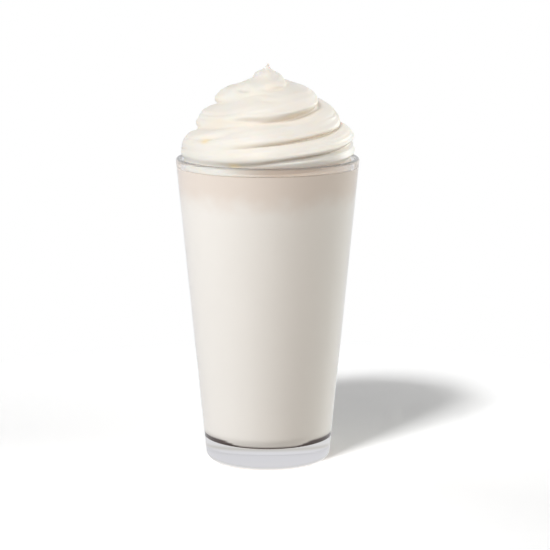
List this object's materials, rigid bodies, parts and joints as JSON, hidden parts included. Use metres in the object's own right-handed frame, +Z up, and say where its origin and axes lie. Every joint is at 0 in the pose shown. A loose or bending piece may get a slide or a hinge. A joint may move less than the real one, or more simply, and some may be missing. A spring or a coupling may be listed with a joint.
{
  "type": "white chocolate frappe in a glass",
  "caption": "Creamy white chocolate frappe in a tapered tumbler, topped with a tall swirl of piped whipped cream.",
  "frame": {"origin": "middle of the glass's underside", "axes": "+Z up through the glass and the cream's tip, -Y towards the viewer"},
  "size_m": [0.0886, 0.0886, 0.1948],
  "materials": {
    "glass": "clear, polished soda-lime glass",
    "drink": "smooth milky liquid against the glass",
    "foam": "fine warm-toned foam against the glass",
    "cream": "soft satin whipped cream"
  },
  "bodies": {
    "root": {"glass": "glass", "drink": "drink", "foam_layer": "foam", "whipped_cream": "cream"}
  },
  "joints": []
}
